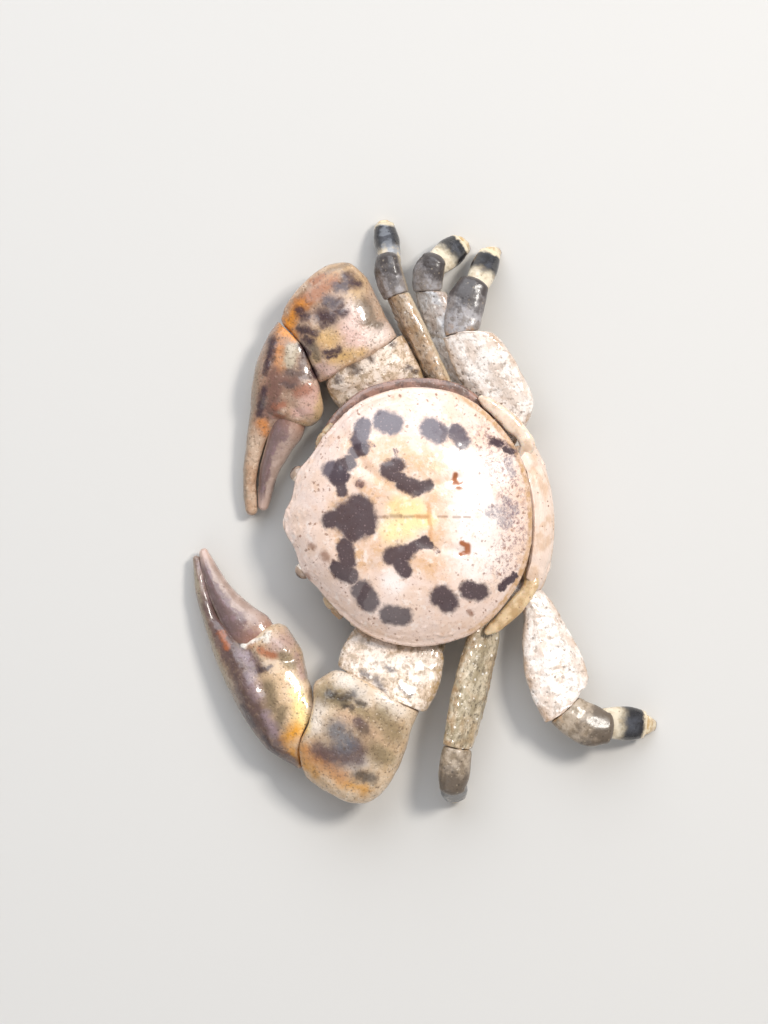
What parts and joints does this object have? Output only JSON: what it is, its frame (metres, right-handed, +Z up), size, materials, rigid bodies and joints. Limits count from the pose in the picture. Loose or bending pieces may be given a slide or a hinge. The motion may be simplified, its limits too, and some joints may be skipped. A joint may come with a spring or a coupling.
{
  "type": "porcelain crab model",
  "caption": "Still, life-size porcelain crab resting on its claws and leg tips: domed spotted shield, broad flat claws, banded walking legs, folded abdomen.",
  "frame": {"origin": "on the floor, under the middle of the whole crab's box", "axes": "+Z up, -Y towards the crab's front, +X towards the crab's left"},
  "size_m": [0.0346, 0.027, 0.0063],
  "materials": {
    "back_shell": "wet, smooth shell, pinkish cream with dark plum spots",
    "under_shell": "pale cream shell",
    "abdomen_shell": "cream shell with fine speckles",
    "eye": "glossy dark eye with pale rings",
    "feeler": "thin translucent ochre shell",
    "arm_shell": "cream shell with dark mottling",
    "claw_shell": "olive and cream shell with plum blotches and orange edges",
    "finger_shell": "purple brown finger with pale edges",
    "leg_shell": "mottled cream and grey shell",
    "leg_slate": "dark slate shell, paler at the root",
    "leg_banded": "cream root, black band, pale end",
    "leg_claw": "pale horn"
  },
  "bodies": {
    "root": {"carapace": "back_shell", "sternum": "under_shell", "abdomen_1": "abdomen_shell", "abdomen_2": "abdomen_shell", "abdomen_3": "abdomen_shell", "abdomen_4": "abdomen_shell", "abdomen_5": "abdomen_shell", "abdomen_6": "abdomen_shell", "tail_fan": "abdomen_shell", "eye_left": "eye", "eye_right": "eye", "antennule_left": "feeler", "antennule_right": "feeler", "antenna_base_left": "feeler", "antenna_base_right": "feeler", "antenna_left": "feeler", "antenna_right": "feeler", "mouth_leg_left": "under_shell", "mouth_leg_right": "under_shell", "claw_arm_left": "arm_shell", "claw_arm_right": "arm_shell", "claw_wrist_left": "claw_shell", "claw_wrist_right": "claw_shell", "claw_hand_left": "claw_shell", "claw_hand_right": "claw_shell", "claw_finger_left": "finger_shell", "claw_finger_right": "finger_shell", "leg_1_left_merus": "leg_shell", "leg_1_left_carpus": "leg_slate", "leg_1_left_propodus": "leg_banded", "leg_1_left_dactyl": "leg_claw", "leg_1_right_merus": "leg_shell", "leg_1_right_carpus": "leg_slate", "leg_1_right_propodus": "leg_banded", "leg_1_right_dactyl": "leg_claw", "leg_2_left_merus": "leg_shell", "leg_2_left_carpus": "leg_slate", "leg_2_left_propodus": "leg_banded", "leg_2_left_dactyl": "leg_claw", "leg_2_right_merus": "leg_shell", "leg_2_right_carpus": "leg_slate", "leg_2_right_propodus": "leg_banded", "leg_2_right_dactyl": "leg_claw", "leg_3_left_merus": "leg_shell", "leg_3_left_carpus": "leg_slate", "leg_3_left_propodus": "leg_banded", "leg_3_left_dactyl": "leg_claw", "leg_3_right_merus": "leg_shell", "leg_3_right_carpus": "leg_slate", "leg_3_right_propodus": "leg_banded", "leg_3_right_dactyl": "leg_claw", "cleaning_leg_left": "feeler", "cleaning_leg_right": "feeler", "cleaning_hand_left": "feeler", "cleaning_hand_right": "feeler"}
  },
  "joints": []
}
